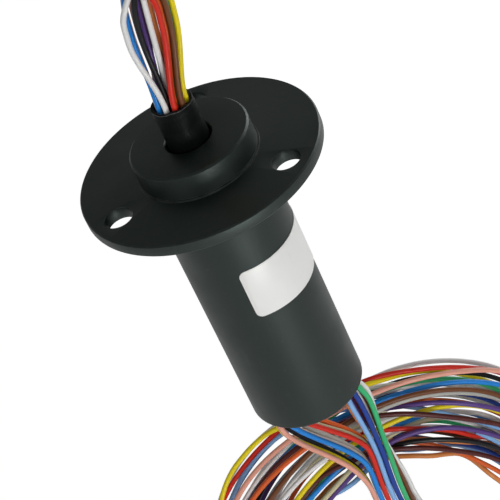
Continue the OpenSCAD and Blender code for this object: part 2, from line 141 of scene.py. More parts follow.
coilFacts = {
    "centre": (5, 12, -115),
    "radius": 33,
    "halfWidth": 12,
    "halfDepth": 5.5,
    "waist": 0.6,            # share by which the tie draws the turns in
    "outermost": 44.2,
    "outside": 41.6,
    "rankStep": 0.59,
    "depths": (-3.8, 0.6, 4.0, -1.9, 2.3),
    "margin": 0.6,           # kept between the leads' middles and the coil's outside
    "shownRight": 62,        # degrees from each lead's start to the two stretches that show, and to the tie
    "shownLeft": 138,
    "tied": 286,
    "tiedShare": 0.35,
    "sweep": 790,
    "stride": 2.1,           # degrees between points
    "tieSpread": 15,
    # leads from outside to inside where the coil shows, second turns marked by a minus
    "right": [11, 3, 10, 7, 1, 2, 6, 5, 9, 18, 8, 15, 13, -5, 14, 16, 17, -9, 12, -18, -8, -10, -7, -3, -15, -1,
              -13, -6, 4, -2, -16, -14, -11, -17, -12, -4],
    "left": [5, 3, 18, 11, 12, 17, 10, 14, 16, 13, 2, 7, 6, 9, 1, -13, -9, 8, -18, -3, -5, 15, -10, -16, -14, -7,
             4, -17, -6, -11, -15, -1, -2, -8, -4, -12],
}
hankFacts = {
    "centre": (-1, 0, 66.5),
    "run": 38,
    "bend": 5.7,
    "layer": 2.7,
    "outer": 8.5,
    "halfDepth": 5.5,
    "twist": 1.7,            # degrees for each millimetre, so that all leads turn inside and outside alike
    "waist": 1.9,            # drawn in by this at the tie
    "margin": 0.6,
    "length": 245,
    "from": (4.3, -2.4, 41),     # where the seen routes end
    "tieSpread": 7,
}


def smooth(t):
    k = min(max(t, 0), 1)
    return k * k * (3 - 2 * k)


def along(points, u):    # a smooth curve through the points
    i = min(int(math.floor(u)), len(points) - 2)
    t = u - i
    b, c = Vector(points[i]), Vector(points[i + 1])
    a = Vector(points[i - 1]) if i > 0 else 2 * b - c
    d = Vector(points[i + 2]) if i + 2 < len(points) else 2 * c - b
    return 0.5 * (2 * b + (c - a) * t + (2 * a - 5 * b + 4 * c - d) * t * t
                  + (3 * b - a - 3 * c + d) * t ** 3)


def heading(points, u):
    ahead = along(points, min(u + 0.05, len(points) - 1))
    return (ahead - along(points, max(u - 0.05, 0))).normalized()


def placeOf(n, f=routeFacts):
    for g in (0, 1):
        if n in f["outletOrder"][g]:
            k = f["outletOrder"][g].index(n)
            return g, k // 3, k % 3


def outletPoint(s, z, f=routeFacts):
    fan = f["fan"] * smooth((f["fanFrom"] - z) / 8) * (1 - smooth((f["fanUntil"] - z) / 16))
    middle = -f["outletX"] if s[0] == 0 else f["outletX"] + f["fanShift"] * fan
    x = middle + (s[1] - 1) * f["pitch"] * (1 + fan) + f["rowShift"][s[2]] * fan
    return Vector((x, (s[2] - 1) * f["pitch"], z))


def statorPoint(s, u, f=routeFacts):
    mid, t = along(f["statorMid"], u), heading(f["statorMid"], u)
    side = Vector((-t.z, 0, t.x)).normalized()
    trail = s[2] * f["trail"] * smooth((f["trailFrom"] - mid.z) / 16) if s[0] == 1 and s[1] == 2 else 0
    ribbon = (mid + side * ((s[0] * 3 + s[1] - 2.5) * f["ribbonPitch"] + trail)
              + side.cross(t) * (s[2] - 1) * f["ribbonDeep"])
    close = f["joined"][0] + 5 * s[1] if s[0] == 0 else f["joined"][1]
    top = f["start"] - f["straight"]
    o = outletPoint(s, ribbon.z)
    return o + (ribbon - o) * smooth((top - mid.z) / (top - close))


def statorRoute(n, f=routeFacts):
    s, last = placeOf(n), len(f["statorMid"]) - 1
    return [outletPoint(s, f["start"])] + [
        statorPoint(s, k * last / f["statorSteps"]) for k in range(1, f["statorSteps"] + 1)]


def mouthPlace(n, f=routeFacts):
    k = f["mouthSeat"][n - 1]
    outer, inner = f["outerCount"], f["innerCount"]
    if k == outer + inner:
        return 0, 0
    r, a = (f["outerSeat"], 18 + k * 360 / outer) if k < outer else (f["innerSeat"], 30.3 + (k - outer) * 360 / inner)
    return r * math.cos(math.radians(a)), r * math.sin(math.radians(a))


def rotorPoint(n, u, f=routeFacts):
    m, a, b = along(f["rotorMid"], u), mouthPlace(n), f["fanPlace"][n - 1]
    opened, gathered = smooth((m.z - f["opensFrom"]) / 15), smooth((m.z - f["closesFrom"]) / 9)
    o = [a[k] + (b[k] - a[k]) * opened * (1 - gathered) + a[k] * 0.1 * gathered for k in (0, 1)]
    return m + Vector((o[0], o[1], 0))


def rotorRoute(n, f=routeFacts):
    last = len(f["rotorMid"]) - 1
    return [rotorPoint(n, s * last / f["rotorSteps"]) for s in range(f["rotorSteps"] + 1)]


def coilRadius(order, n, turn, f=coilFacts):    # the outermost lead lies a little apart
    rank = order.index(n if turn == 0 else -n)
    return f["outermost"] if rank == 0 else f["outside"] - (rank - 1) * f["rankStep"]


def coilDepth(order, n, turn, f=coilFacts):
    rank = order.index(n if turn == 0 else -n)
    return f["depths"][rank % len(f["depths"])] + 0.5 * math.sin(rank * 1.9)


def coilRoute(n, start, aim, f=coilFacts):    # turns of the loose coil, from the end of the seen route
    c = Vector(f["centre"])
    rel = start - c
    r0, a0, y0 = math.hypot(rel.x, rel.z), math.atan2(rel.z, rel.x), rel.y
    out, turn = Vector((math.cos(a0), 0, math.sin(a0))), Vector((-math.sin(a0), 0, math.cos(a0)))
    slope = r0 * aim.dot(out) / max(aim.dot(turn), 0.3)
    keys = [(0, r0, y0)]
    for k in (0, 1):
        right, left = coilRadius(f["right"], n, k), coilRadius(f["left"], n, k)
        deep, after = coilDepth(f["right"], n, k), coilDepth(f["left"], n, k)
        keys += [(360 * k + f["shownRight"], right, deep), (360 * k + f["shownLeft"], left, after),
                 (360 * k + f["tied"], f["radius"] + (left - f["radius"]) * f["tiedShare"], after * 0.5)]
    points, a = [], 0
    while math.degrees(a) < f["sweep"]:
        a += math.radians(f["stride"])
        d = min(math.degrees(a), keys[-1][0])
        i = max(k for k in range(len(keys) - 1) if keys[k][0] <= d or k == 0)
        (d0, ra, ya), (d1, rb, yb) = keys[i], keys[i + 1]
        t = (d - d0) / (d1 - d0)
        r, y = ra + (rb - ra) * smooth(t), ya + (yb - ya) * smooth(t)
        if i == 0:
            r += slope * math.radians(d1) * (t - 2 * t * t + t ** 3)
        w = smooth(math.degrees(a) / f["shownRight"])
        r += w * (0.45 * math.sin(a * (2.6 + 0.2 * (n % 5)) + n * 1.7) + 0.2 * math.sin(a * 6.3 + n))
        y += w * (0.5 * math.sin(a * (2.1 + 0.2 * (n % 7)) + n * 2.9) + 0.2 * math.sin(a * 5.1 + n * 3))
        points.append(c + Vector((r * math.cos(a0 + a), y, r * math.sin(a0 + a))))
    return points


def coilLimit(p, f=coilFacts):    # keeps a point inside the coil's oval section
    c = Vector(f["centre"])
    rel = p - c
    r = math.hypot(rel.x, rel.z)
    away = math.degrees(math.atan2(rel.x, -rel.z))      # from the coil's foot
    tight = 1 - f["waist"] * math.exp(-(away / f["tieSpread"]) ** 2)
    w = (f["halfWidth"] - f["margin"]) * tight
    dr = min(max(r - f["radius"], -w), w)
    h = min((f["halfDepth"] - f["margin"]) * tight, math.sqrt(max(w * w - dr * dr, 0.01)))
    y = min(max(rel.y, -h), h)
    k = (f["radius"] + dr) / max(r, 1e-6)
    return c + Vector((rel.x * k, y, rel.z * k))


def hankMiddle(d, f=hankFacts):    # middle of the hank's turns at a distance along them, and its outward side
    c, run, bend = Vector(f["centre"]), f["run"], f["bend"]
    arc = math.pi * bend
    x0, y0, z0 = f["from"]
    lead = c.z - run / 2 - z0
    if d < lead:
        k = smooth(d / 10)
        return Vector((x0 + 0.4 * k, y0 - 0.3 * k, z0 + d)), Vector((1, 0, 0))
    d -= lead
    turn, d = divmod(d, 2 * run + 2 * arc)
    y = -f["layer"] if turn == 0 else f["layer"]
    if d < run:
        x = c.x + bend if turn or d > 20 else x0 + 0.4 * smooth((d + lead) / 10)
        return Vector((x, y, c.z - run / 2 + d)), Vector((1, 0, 0))
    d -= run
    if d < arc:
        a = d / bend
        o = Vector((math.cos(a), 0, math.sin(a)))
        return Vector((c.x, y, c.z + run / 2)) + o * bend, o
    d -= arc
    if d < run:
        return Vector((c.x - bend, y, c.z + run / 2 - d)), Vector((-1, 0, 0))
    d -= run
    a = math.pi + d / bend
    o = Vector((math.cos(a), 0, math.sin(a)))
    if turn == 0:
        y += 2 * f["layer"] * smooth(d / (0.8 * arc))
    return Vector((c.x, y, c.z - run / 2)) + o * bend, o


def hankRoute(n, f=hankFacts):
    a = mouthPlace(n)
    points, d = [], 0
    while d < f["length"]:
        d += leadFacts["step"]
        m, out = hankMiddle(d)
        k, twist = smooth(d / 8), math.radians(max(d - 10, 0) * f["twist"])
        ox = (a[0] * math.cos(twist) - a[1] * math.sin(twist)) * (1.1 - 0.08 * k)
        oy = (a[0] * math.sin(twist) + a[1] * math.cos(twist)) * (1.1 - 0.28 * k)
        wander = 0.35 * smooth(d / 15)
        ox += wander * math.sin(d * 0.06 + n * 1.3)
        oy += wander * math.sin(d * 0.05 + n * 2.1)
        points.append(m + out * ox + Vector((0, oy, 0)))
    return points


def hankLimit(p, f=hankFacts):
    c = Vector(f["centre"])
    z = min(max(p.z, c.z - f["run"] / 2), c.z + f["run"] / 2)
    core = Vector((c.x, 0, z))
    flat = Vector((p.x - core.x, 0, p.z - core.z))
    tight = math.exp(-((p.z - c.z) / f["tieSpread"]) ** 2)
    r, most = flat.length, f["outer"] - f["margin"] - f["waist"] * tight
    if r > most:
        flat *= most / r
    h = f["halfDepth"] - f["margin"] - 0.6 * tight
    return Vector((core.x + flat.x, min(max(p.y, -h), h), core.z + flat.z))


def resampled(points, step):
    out, left = [points[0].copy()], step
    for a, b in zip(points[:-1], points[1:]):
        gap = (b - a).length
        while gap >= left and gap > 1e-9:
            a = a + (b - a) * (left / gap)
            out.append(a.copy())
            gap, left = (b - a).length, step
        left -= gap
    return out


def pushApart(strands, held, limit, facts=leadFacts):    # parts the leads where they would lie in each other
    for turn in range(facts["rounds"]):
        total = sum(len(s) for s in strands)
        tree, owner = kdtree.KDTree(total), []
        for i, s in enumerate(strands):
            for j, p in enumerate(s):
                tree.insert(p, len(owner))
                owner.append((i, j))
        tree.balance()
        moved = [[Vector((0, 0, 0)) for p in s] for s in strands]
        for i, s in enumerate(strands):
            for j, p in enumerate(s):
                if j < held[i]:
                    continue
                for q, k, far in tree.find_range(p, facts["gap"]):
                    oi, oj = owner[k]
                    if oi == i and abs(oj - j) < 5 or far < 1e-6:
                        continue
                    share = 0.5 if oj >= held[oi] else 1
                    moved[i][j] += (p - q) * ((facts["gap"] - far) / far * share)
        for i, s in enumerate(strands):
            last = len(s) - 1
            spread = [moved[i][max(j - 1, 0)] * 0.25 + moved[i][j] * 0.5
                      + moved[i][min(j + 1, last)] * 0.25 for j in range(last + 1)]
            for j in range(held[i], last + 1):
                s[j] = s[j] + spread[j] * 0.8
            for j in range(max(held[i], 1), last):
                s[j] = s[j] * 0.9 + (s[j - 1] + s[j + 1]) * 0.05
            for j in range(held[i] + 6, last + 1):
                s[j] = limit(s[j])
    return strands


def cut(points, length):
    out, done = [points[0]], 0
    for a, b in zip(points[:-1], points[1:]):
        gap = (b - a).length
        if done + gap >= length:
            out.append(a + (b - a) * ((length - done) / gap))
            break
        done += gap
        out.append(b)
    return out


def leadCurve(name, points, diameter):
    data = bpy.data.curves.new(name, "CURVE")
    data.dimensions = "3D"
    data.bevel_depth = diameter / 2      # times each point's radius of a millimetre
    data.bevel_resolution = 3
    data.use_fill_caps = True
    data.resolution_u = 3
    data.render_resolution_u = 3
    data.twist_mode = "MINIMUM"
    spline = data.splines.new("BEZIER")
    spline.bezier_points.add(len(points) - 1)
    for k, (b, p) in enumerate(zip(spline.bezier_points, points)):
        back, ahead = points[max(k - 1, 0)], points[min(k + 1, len(points) - 1)]
        t = (ahead - back).normalized()
        b.co = p * mm
        b.radius = mm
        b.handle_left_type = b.handle_right_type = "FREE"
        b.handle_left = (p - t * (p - back).length / 3) * mm
        b.handle_right = (p + t * (ahead - p).length / 3) * mm
    obj = bpy.data.objects.new(name, data)
    scene.collection.objects.link(obj)
    return obj


def makeLeads(side, facts=leadFacts):
    routes, strands, held = [], [], []
    for n in range(1, facts["count"] + 1):
        seen = statorRoute(n) if side == "stator" else rotorRoute(n)
        if side == "stator":
            tail = coilRoute(n, seen[-1], (seen[-1] - seen[-2]).normalized())
        else:
            tail = hankRoute(n)
        fine = resampled([seen[-1]] + tail, facts["step"])
        near = resampled(seen, facts["step"])
        routes.append(seen)
        held.append(len(near))
        strands.append(near + fine[1:])
    pushApart(strands, held, coilLimit if side == "stator" else hankLimit)
    pieces = []
    for n in range(1, facts["count"] + 1):
        full = facts[side + "Length"] + (facts["uneven"] * math.sin(n * 2.7) if side == "stator" else 0)
        tail = strands[n - 1][held[n - 1]:][2::facts["keepEvery"]]
        points = cut(routes[n - 1] + tail, full)
        name = f"{side}Lead{n:02d}"
        piece = leadCurve(name, points, facts["diameter"])
        pieces.append((piece, points[0], full))
    return pieces


statorLeads = makeLeads("stator")
rotorLeads = makeLeads("rotor")
for side, leads in (("stator", statorLeads), ("rotor", rotorLeads)):
    for n, (piece, start, full) in enumerate(leads, 1):
        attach(piece, side)
        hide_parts(f"{side}_lead_{n:02d}")
for piece, start, full in statorLeads:
    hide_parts("stator_coil")
for piece, start, full in rotorLeads:
    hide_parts("rotor_hank")
stage("leads")

# effects that several finishes share, each a group that gives masks or heights


def newGroup(name, ins, outs):
    group = bpy.data.node_groups.new(name, "ShaderNodeTree")
    for label, value in ins:
        group.interface.new_socket(label, in_out="INPUT", socket_type="NodeSocketFloat").default_value = value
    for label in outs:
        group.interface.new_socket(label, in_out="OUTPUT", socket_type="NodeSocketFloat")
    return group, group.nodes.new("NodeGroupInput"), group.nodes.new("NodeGroupOutput")


def add(tree, kind, links=None, **values):    # one node, its settings, and what runs into it
    node = tree.nodes.new(kind)
    for key, value in values.items():
        setattr(node, key, value)
    for key, value in (links or {}).items():
        if isinstance(value, bpy.types.NodeSocket):
            tree.links.new(value, node.inputs[key])
        else:
            node.inputs[key].default_value = value
    return node


def grainGroup():    # fine moulded grain over a softer unevenness
    group, start, end = newGroup("mouldedGrain", [("Fine", 2500), ("Coarse", 220)], ["Height", "Cloud"])
    where = add(group, "ShaderNodeTexCoord").outputs["Object"]
    fine = add(group, "ShaderNodeTexNoise", {"Vector": where, "Scale": start.outputs["Fine"], "Detail": 4})
    soft = add(group, "ShaderNodeTexNoise", {"Vector": where, "Scale": start.outputs["Coarse"], "Detail": 3})
    both = add(group, "ShaderNodeMath", {0: soft.outputs[0], 1: 0.35, 2: fine.outputs[0]}, operation="MULTIPLY_ADD")
    group.links.new(both.outputs[0], end.inputs["Height"])
    group.links.new(soft.outputs[0], end.inputs["Cloud"])
    return group


def edgeGroup():    # edges made lighter, in patches: rubbed wear, and on the shrink sleeve's cut rim a painted highlight
    group, start, end = newGroup("rubbedEdgesAndSheen", [("Width", 0.0003), ("Patches", 300), ("Strength", 1)], ["Mask"])
    bevel = add(group, "ShaderNodeBevel", {"Radius": start.outputs["Width"]}, samples=6)
    flat = add(group, "ShaderNodeNewGeometry").outputs["Normal"]
    same = add(group, "ShaderNodeVectorMath", {0: bevel.outputs[0], 1: flat}, operation="DOT_PRODUCT")
    sharp = add(group, "ShaderNodeMapRange", {0: same.outputs["Value"], 1: 0.999, 2: 0.9, 3: 0.0, 4: 1.0})
    where = add(group, "ShaderNodeTexCoord").outputs["Object"]
    patch = add(group, "ShaderNodeTexNoise", {"Vector": where, "Scale": start.outputs["Patches"], "Detail": 5})
    lift = add(group, "ShaderNodeMapRange", {0: patch.outputs[0], 1: 0.38, 2: 0.68})
    both = add(group, "ShaderNodeMath", {0: sharp.outputs[0], 1: lift.outputs[0]}, operation="MULTIPLY")
    last = add(group, "ShaderNodeMath", {0: both.outputs[0], 1: start.outputs["Strength"]},
               operation="MULTIPLY", use_clamp=True)
    group.links.new(last.outputs[0], end.inputs["Mask"])
    return group


def speckGroup():    # lint and fine scuffs, thinly scattered
    group, start, end = newGroup("specksAndScuffs", [("Scale", 900), ("Share", 0.3)], ["Mask"])
    where = add(group, "ShaderNodeTexCoord").outputs["Object"]
    turn = add(group, "ShaderNodeMapping", {"Vector": where, "Rotation": (0.4, 0.3, 0.7), "Scale": (1, 1, 0.12)})
    line = add(group, "ShaderNodeTexNoise", {"Vector": turn.outputs[0], "Scale": start.outputs["Scale"], "Detail": 3})
    dot = add(group, "ShaderNodeTexNoise", {"Vector": where, "Scale": start.outputs["Scale"], "Detail": 2})
    high = add(group, "ShaderNodeMath", {0: line.outputs[0], 1: dot.outputs[0]}, operation="MAXIMUM")
    lift = add(group, "ShaderNodeMapRange", {0: high.outputs[0], 1: 0.66, 2: 0.82})
    last = add(group, "ShaderNodeMath", {0: lift.outputs[0], 1: start.outputs["Share"]}, operation="MULTIPLY")
    group.links.new(last.outputs[0], end.inputs["Mask"])
    return group


def linesGroup():    # fine lines that run with the axis, as on drawn or shrunk plastic
    group, start, end = newGroup("drawnLines", [("Scale", 1500), ("Stretch", 0.06)], ["Height"])
    where = add(group, "ShaderNodeTexCoord").outputs["Object"]
    apart = add(group, "ShaderNodeSeparateXYZ", {0: where})
    high = add(group, "ShaderNodeMath", {0: apart.outputs[2], 1: start.outputs["Stretch"]}, operation="MULTIPLY")
    again = add(group, "ShaderNodeCombineXYZ", {0: apart.outputs[0], 1: apart.outputs[1], 2: high.outputs[0]})
    line = add(group, "ShaderNodeTexNoise",
               {"Vector": again.outputs[0], "Scale": start.outputs["Scale"], "Detail": 3})
    group.links.new(line.outputs[0], end.inputs["Height"])
    return group


effects = {"grain": grainGroup(), "edges": edgeGroup(), "specks": speckGroup(), "lines": linesGroup()}


def effect(tree, key, **values):
    node = tree.nodes.new("ShaderNodeGroup")
    node.node_tree = effects[key]
    for label, value in values.items():
        node.inputs[label].default_value = value
    return node


def mixed(tree, mask, a, b):    # colour a, turning to b where the mask is high
    node = add(tree, "ShaderNodeMix", data_type="RGBA")
    for k, value in ((6, a), (7, b)):
        if isinstance(value, bpy.types.NodeSocket):
            tree.links.new(value, node.inputs[k])
        else:
            node.inputs[k].default_value = (*value, 1)
    tree.links.new(mask, node.inputs[0])
    return node.outputs[2]


def newMaterial(name, facts):
    # colour and shade: its two tones; wornAndSheen: colour of its lighter edges, rubbed wear and, on the shrink
    # sleeve, a painted highlight; rough: least and most
    m = bpy.data.materials.new(name)
    m.use_nodes = True
    tree = m.node_tree
    skin = tree.nodes["Principled BSDF"]
    grain = effect(tree, "grain", Fine=facts.get("fine", 2500), Coarse=facts.get("coarse", 220))
    colour = mixed(tree, grain.outputs["Cloud"], facts["colour"], facts["shade"])
    if "wornAndSheen" in facts:
        edge = effect(tree, "edges", Width=facts.get("edge", 0.00025), Strength=facts.get("wearAndSheen", 0.8))
        colour = mixed(tree, edge.outputs["Mask"], colour, facts["wornAndSheen"])
    if "dust" in facts:
        speck = effect(tree, "specks", Scale=facts.get("speckScale", 900), Share=facts["dust"])
        colour = mixed(tree, speck.outputs["Mask"], colour, facts.get("dustColour", (0.35, 0.35, 0.34)))
    tree.links.new(colour, skin.inputs["Base Color"])
    low, high = facts["rough"]
    rough = add(tree, "ShaderNodeMapRange", {0: grain.outputs["Cloud"], 1: 0.3, 2: 0.7, 3: low, 4: high})
    tree.links.new(rough.outputs[0], skin.inputs["Roughness"])
    height = grain.outputs["Height"]
    if "lines" in facts:
        line = effect(tree, "lines", Scale=facts["lines"], Stretch=facts.get("stretch", 0.06))
        height = add(tree, "ShaderNodeMath", {0: height, 1: line.outputs["Height"]}, operation="ADD").outputs[0]
    bump = add(tree, "ShaderNodeBump", {"Height": height, "Strength": 1, "Distance": facts["bump"]})
    tree.links.new(bump.outputs[0], skin.inputs["Normal"])
    skin.inputs["Metallic"].default_value = facts.get("metal", 0)
    skin.inputs["Specular IOR Level"].default_value = facts.get("specular", 0.5)
    skin.inputs["Specular Tint"].default_value = (*facts.get("tint", (1, 1, 1)), 1)
    skin.inputs["Coat Weight"].default_value = facts.get("coat", 0)
    skin.inputs["Coat Roughness"].default_value = 0.15
    return m


finishes = {
    "mattBlack": {"colour": (0.003, 0.0066, 0.0052), "shade": (0.0055, 0.0098, 0.008), "wornAndSheen": (0.12, 0.13, 0.125),
                  "rough": (0.4, 0.5), "bump": 0.000012, "fine": 3200, "coarse": 160, "dust": 0.04, "wearAndSheen": 0.7,
                  "tint": (0.84, 1, 0.96)},
    # the shrink sleeve's pale edge colour, strongest at its cut rim, is a painted highlight and not wear
    "shrinkBlack": {"colour": (0.0025, 0.003, 0.003), "shade": (0.005, 0.006, 0.006), "wornAndSheen": (0.3, 0.3, 0.29),
                    "rough": (0.4, 0.52), "bump": 0.00005, "fine": 1400, "coarse": 300, "lines": 900, "edge": 0.0003,
                    "wearAndSheen": 1, "specular": 0.08},
    "blackResin": {"colour": (0.006, 0.006, 0.006), "shade": (0.014, 0.014, 0.013), "rough": (0.12, 0.3),
                   "bump": 0.0001, "fine": 900, "coarse": 260, "coat": 0.4},
    "labelFilm": {"colour": (0.88, 0.88, 0.86), "shade": (0.82, 0.82, 0.8), "wornAndSheen": (0.5, 0.5, 0.48),
                  "rough": (0.32, 0.45), "bump": 0.000006, "fine": 2600, "coarse": 120, "dust": 0.15,
                  "edge": 0.0001, "dustColour": (0.45, 0.44, 0.42)},
    "ivoryCore": {"colour": (0.55, 0.48, 0.33), "shade": (0.46, 0.39, 0.26), "wornAndSheen": (0.7, 0.64, 0.5),
                  "rough": (0.4, 0.55), "bump": 0.00002, "dust": 0.1},
    "goldAlloy": {"colour": (0.86, 0.62, 0.24), "shade": (0.74, 0.5, 0.19), "wornAndSheen": (0.95, 0.8, 0.45),
                  "rough": (0.2, 0.34), "bump": 0.000006, "metal": 1},
    "bearingSteel": {"colour": (0.58, 0.59, 0.6), "shade": (0.48, 0.49, 0.5), "wornAndSheen": (0.8, 0.8, 0.8),
                     "rough": (0.18, 0.32), "bump": 0.000005, "metal": 1},
    "cageBronze": {"colour": (0.5, 0.33, 0.15), "shade": (0.4, 0.26, 0.12), "wornAndSheen": (0.7, 0.52, 0.28),
                   "rough": (0.3, 0.42), "bump": 0.000008, "metal": 1},
    "blackNylon": {"colour": (0.012, 0.012, 0.012), "shade": (0.024, 0.024, 0.024), "wornAndSheen": (0.1, 0.1, 0.1),
                   "rough": (0.34, 0.48), "bump": 0.00002, "dust": 0.1, "lines": 700},
}
materials = {name: newMaterial(name, facts) for name, facts in finishes.items()}

leadColours = {
    "black": (0.008, 0.008, 0.01), "brown": (0.17, 0.06, 0.02), "red": (0.72, 0.028, 0.014),
    "orange": (0.74, 0.26, 0.07), "yellow": (0.92, 0.74, 0.012), "green": (0.05, 0.52, 0.2),
    "azure": (0.02, 0.26, 0.78), "purple": (0.12, 0.06, 0.26), "grey": (0.5, 0.5, 0.46),
    "white": (0.9, 0.9, 0.89), "pink": (0.88, 0.4, 0.3), "light_blue": (0.26, 0.5, 0.88),
    "navy": (0.02, 0.06, 0.34), "beige": (0.72, 0.65, 0.4), "maroon": (0.1, 0.02, 0.018),
    "vermilion": (0.78, 0.13, 0.025),
}
leadOrder = ["black", "brown", "red", "orange", "yellow", "green", "azure", "purple", "grey", "white", "pink",
             "light_blue", "white", "navy", "beige", "maroon", "vermilion", "white"]
for name, colour in leadColours.items():
    darker = tuple(c * 0.82 for c in colour)
    materials["lead_" + name] = newMaterial("lead_" + name, {
        "colour": colour, "shade": darker, "rough": (0.26, 0.38), "bump": 0.000008, "fine": 1800, "coarse": 120,
        "dust": 0.04, "speckScale": 1300, "dustColour": (0.3, 0.29, 0.27), "coat": 0.05, "specular": 0.22})
stage("materials")


def dress(piece, material):
    piece.data.materials.clear()
    piece.data.materials.append(materials[material])


for side, leads in (("stator", statorLeads), ("rotor", rotorLeads)):
    for n, (piece, start, full) in enumerate(leads):
        dress(piece, "lead_" + leadOrder[n])

# steps that every modelled piece goes through


def clear():
    if bpy.context.object and bpy.context.object.mode != "OBJECT":
        bpy.ops.object.mode_set(mode="OBJECT")
    bpy.ops.object.select_all(action="DESELECT")


def settle(obj):    # puts a piece's place into its mesh
    bpy.ops.object.select_all(action="DESELECT")
    obj.select_set(True)
    bpy.context.view_layer.objects.active = obj
    bpy.ops.object.transform_apply(location=True, rotation=True, scale=True)


def turned(name, rings, sides=192):    # one circle drawn, then extruded and scaled ring by ring
    clear()
    bpy.ops.mesh.primitive_circle_add(vertices=sides, radius=rings[0][0] * mm, location=(0, 0, rings[0][1] * mm))
    obj = bpy.context.object
    obj.name = name
    settle(obj)
    bpy.ops.object.mode_set(mode="EDIT")
    bpy.ops.mesh.select_all(action="SELECT")
    path = rings + [rings[0]]
    for (r0, z0), (r1, z1) in zip(path[:-1], path[1:]):
        bpy.ops.mesh.extrude_edges_move(TRANSFORM_OT_translate={"value": (0, 0, (z1 - z0) * mm)})
        bpy.ops.transform.resize(value=(r1 / r0, r1 / r0, 1), center_override=(0, 0, z1 * mm))
    bpy.ops.mesh.select_all(action="SELECT")
    bpy.ops.mesh.remove_doubles(threshold=0.000002)
    bpy.ops.mesh.normals_make_consistent(inside=False)
    bpy.ops.object.mode_set(mode="OBJECT")
    return obj


def modify(obj, kind, **values):    # adds a modifier and applies it
    bpy.ops.object.select_all(action="DESELECT")
    obj.select_set(True)
    bpy.context.view_layer.objects.active = obj
    mod = obj.modifiers.new(kind.lower(), kind)
    for key, value in values.items():
        setattr(mod, key, value)
    bpy.ops.object.modifier_apply(modifier=mod.name)


def cutAway(obj, cutter):
    modify(obj, "BOOLEAN", operation="DIFFERENCE", solver="EXACT", object=cutter)
    bpy.data.objects.remove(cutter)


def smoothed(obj, angle=32):
    bpy.ops.object.select_all(action="DESELECT")
    obj.select_set(True)
    bpy.context.view_layer.objects.active = obj
    bpy.ops.object.shade_smooth_by_angle(angle=math.radians(angle))


def softened(obj, width, segments=2, angle=35):    # small rounds on all hard edges
    modify(obj, "BEVEL", width=width * mm, segments=segments, limit_method="ANGLE",
           angle_limit=math.radians(angle), miter_outer="MITER_ARC", use_clamp_overlap=True)


def finishPiece(obj, material, body, slotName, *stands):
    dress(obj, material)
    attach(obj, body)
    if stands:
        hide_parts(*stands)


# housing, flange and boss in one moulding
housingFacts = {
    "flange": 44.5, "flangeThick": 2.3, "flangeEdge": 0.25,
    "boss": 22, "bossHigh": 5, "bossEdge": 0.35,
    "stepWide": 0.32, "stepHigh": 0.3,       # small moulded step round the boss's foot
    "body": 22, "bodyEnd": -57.5, "bodyEdge": 0.9, "bore": 19.6,
    "shoulder": -1.9, "seat": 13.02, "seatTop": 2.0, "mouth": 8.4,
    "holes": 3, "hole": 5.3, "holeCircle": 35.2, "holeTurn": 79,
}


def makeHousing(f):
    fr, br, hr, r = f["flange"] / 2, f["boss"] / 2, f["mouth"] / 2, f["body"] / 2
    back, fe, be, e = -f["flangeThick"], f["flangeEdge"], f["bossEdge"], f["bodyEdge"]
    rings = [(hr, f["seatTop"]), (hr, f["bossHigh"] - 0.3), (hr + 0.3, f["bossHigh"]),
             (br - be, f["bossHigh"]), (br, f["bossHigh"] - be), (br, f["stepHigh"]),
             (br + f["stepWide"], f["stepHigh"]), (br + f["stepWide"], 0),
             (fr - fe, 0), (fr, -fe), (fr, back + fe), (fr - fe, back), (r, back)]
    rings += [(r, back - k * 9) for k in (1, 2, 3, 4, 5)]
    for k in range(7):
        a = math.radians(90 * k / 6)
        rings.append((r - e + e * math.cos(a), f["bodyEnd"] + e - e * math.sin(a)))
    rings += [(f["bore"] / 2, f["bodyEnd"]), (f["bore"] / 2, f["shoulder"]), (f["seat"] / 2, f["shoulder"]),
              (f["seat"] / 2, f["seatTop"])]
    housing = turned("housing", rings)
    for k in range(f["holes"]):
        a = math.radians(f["holeTurn"] + k * 360 / f["holes"])
        clear()
        bpy.ops.mesh.primitive_cylinder_add(
            vertices=72, radius=f["hole"] / 2 * mm, depth=8 * mm,
            location=(f["holeCircle"] / 2 * math.cos(a) * mm, f["holeCircle"] / 2 * math.sin(a) * mm, -0.001))
        cutter = bpy.context.object
        settle(cutter)
        cutAway(housing, cutter)
    softened(housing, 0.11)
    smoothed(housing)
    finishPiece(housing, "mattBlack", "stator", "housing_plastic", "stator_housing")


makeHousing(housingFacts)
stage("housing")

# shrink sleeve over the rotor's neck, its cut rim a little uneven
sleeveFacts = {
    "low": 2.15, "top": 13.0, "foot": 3.85, "rim": 3.75, "wall": 0.6,
    "bead": 11.4, "beadHigh": 0.04,
    "waistAt": 8.6, "waist": 0.09,           # drawn in above the neck's end
    "neckTop": 7.0, "neck": 3.02,            # the shaft's neck that it grips
    "uneven": 0.12, "dents": 0.05, "steps": 44,
}


